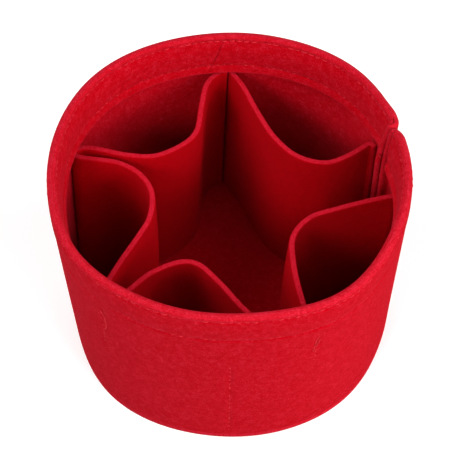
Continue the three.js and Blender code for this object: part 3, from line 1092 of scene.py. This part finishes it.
add_stitches("thread_wall_seam", *wall_seam_row(), "wall_seam_stitch", [seam_knot()])
centres, ahead, outward = round_row(wall_foot, WALL_BOTTOM + STITCH_RADIUS)
add_stitches("thread_base", centres, ahead, -outward, "base_stitch")

# %% [markdown]
# ## Stage, light and camera
# The photograph is a cut-out on white, so the sky and the floor are white to the camera. A floor that is
# white by its own light alone would lose the shadow, so it is a matt floor with a little glow added.

# %% Floor and sky

FLOOR_HALF = 4000.0
FLOOR_GLOW = 0.3
SKY_STRENGTH = 0.03


def white_floor():
    """Diffuse floor with a little glow for camera rays, so that it is white and still keeps the shadow.

    To all other rays it is a grey floor, which throws little light up the wall.
    """
    made, tree = new_material("white_floor")
    path = add_node(tree, "ShaderNodeLightPath")
    grey = add_node(tree, "ShaderNodeBsdfDiffuse", {"Color": colour("#A0A0A0")})
    matt = add_node(tree, "ShaderNodeBsdfDiffuse", {"Color": colour("#F0F0F0")})
    glow = add_node(tree, "ShaderNodeEmission", {"Strength": FLOOR_GLOW})
    glowing = {0: matt.outputs["BSDF"], 1: glow.outputs["Emission"]}
    both = add_node(tree, "ShaderNodeAddShader", None, glowing)
    by_ray = {0: path.outputs["Is Camera Ray"], 1: grey.outputs["BSDF"], 2: both.outputs["Shader"]}
    seen = add_node(tree, "ShaderNodeMixShader", None, by_ray)
    add_node(tree, "ShaderNodeOutputMaterial", None, {"Surface": seen.outputs["Shader"]})
    return made


corners = np.array([[-1, -1, 0], [1, -1, 0], [1, 1, 0], [-1, 1, 0]], float) * FLOOR_HALF
floor_mesh = bpy.data.meshes.new("floor")
floor_mesh.from_pydata((corners * MM).tolist(), [], [(0, 1, 2, 3)])
floor = add_object("floor", floor_mesh)
floor.data.materials.append(white_floor())


def white_sky():
    """World that is white to camera, glossy and transmission rays, and a weak even light to the rest."""
    world = bpy.data.worlds.new("white_sky")
    world.use_nodes = True
    tree = world.node_tree
    tree.nodes.clear()
    path = add_node(tree, "ShaderNodeLightPath")
    shiny = add_math(tree, "MAXIMUM", path.outputs["Is Glossy Ray"], path.outputs["Is Transmission Ray"])
    seen = add_math(tree, "MAXIMUM", path.outputs["Is Camera Ray"], shiny)
    strength = add_range(tree, seen, (0.0, 1.0), (SKY_STRENGTH, 1.0))
    sky = add_node(tree, "ShaderNodeBackground", {"Color": colour("#FFFFFF")}, {"Strength": strength})
    add_node(tree, "ShaderNodeOutputWorld", None, {"Surface": sky.outputs["Background"]})
    return world


bpy.context.scene.world = white_sky()
print("floor and sky:", floor.name, bpy.context.scene.world.name)

# %% [markdown]
# The light in the photograph is soft and comes from many sides, strongest from the right: the right of the
# wall is bright, the left is even, and the pockets go dark. Wide square lamps give soft shadows; low ones
# light the wall and high ones reach the floor of the tub, so each side can be set on its own.

# %% Lamps

# Metres from the middle of the floor to each lamp
LAMP_DISTANCE = 1.6

# Azimuth and elevation in degrees, width in metres and power in watts
LAMPS = {
    "front_right_low": (-45.0, 15.0, 0.9, 21.0),
    "front_right_high": (-45.0, 50.0, 0.9, 5.6),
    "right_low": (0.0, 15.0, 0.9, 3.0),
    "right_high": (0.0, 42.0, 0.9, 10.0),
    "front_left_middle": (238.0, 36.0, 0.5, 10.8),
    "left_low": (180.0, 22.0, 0.9, 5.0),
    "left_high": (180.0, 50.0, 0.9, 10.5),
    "rear_high": (90.0, 50.0, 0.9, 3.5),
}

for name, (azimuth, elevation, width, power) in LAMPS.items():
    light = bpy.data.lights.new(name, "AREA")
    light.size = width
    light.energy = power
    a, e = math.radians(azimuth), math.radians(elevation)
    back = Vector((math.cos(a) * math.cos(e), math.sin(a) * math.cos(e), math.sin(e)))
    aimed = (-back).to_track_quat("-Z", "Y").to_matrix().to_4x4()
    add_object(name, light).matrix_world = Matrix.Translation(back * LAMP_DISTANCE) @ aimed
print(len(LAMPS), "lamps:", ", ".join(LAMPS))

# %% [markdown]
# The camera looks down at the tub from the front with a long lens, which keeps the rim's ellipse nearly
# even. Its elevation and its focal length in pixels were read from the rim's and the base's outlines. The
# focal length in pixels becomes millimetres through the width of the sensor.

# %% Camera

CAMERA_ELEVATION = 53.906
CAMERA_DISTANCE = 1000.0
CAMERA_AIM = (0.2, 0.0, 66.35)
FOCAL_PIXELS = 1952.2
FRAME_PIXELS = 460.0

camera_data = bpy.data.cameras.new("camera")
camera_data.sensor_width = 36.0
camera_data.lens = FOCAL_PIXELS * camera_data.sensor_width / FRAME_PIXELS
camera_data.clip_end = 20.0
camera = add_object("camera", camera_data)
tilt = math.radians(CAMERA_ELEVATION)
behind = Vector((0.0, -math.cos(tilt), math.sin(tilt)))
camera.location = (Vector(CAMERA_AIM) + behind * CAMERA_DISTANCE) * MM
camera.rotation_euler = (math.pi / 2 - tilt, 0.0, 0.0)
bpy.context.scene.camera = camera
bpy.context.scene.view_settings.view_transform = "Standard"
print(f"camera lens {camera_data.lens:.1f} mm")
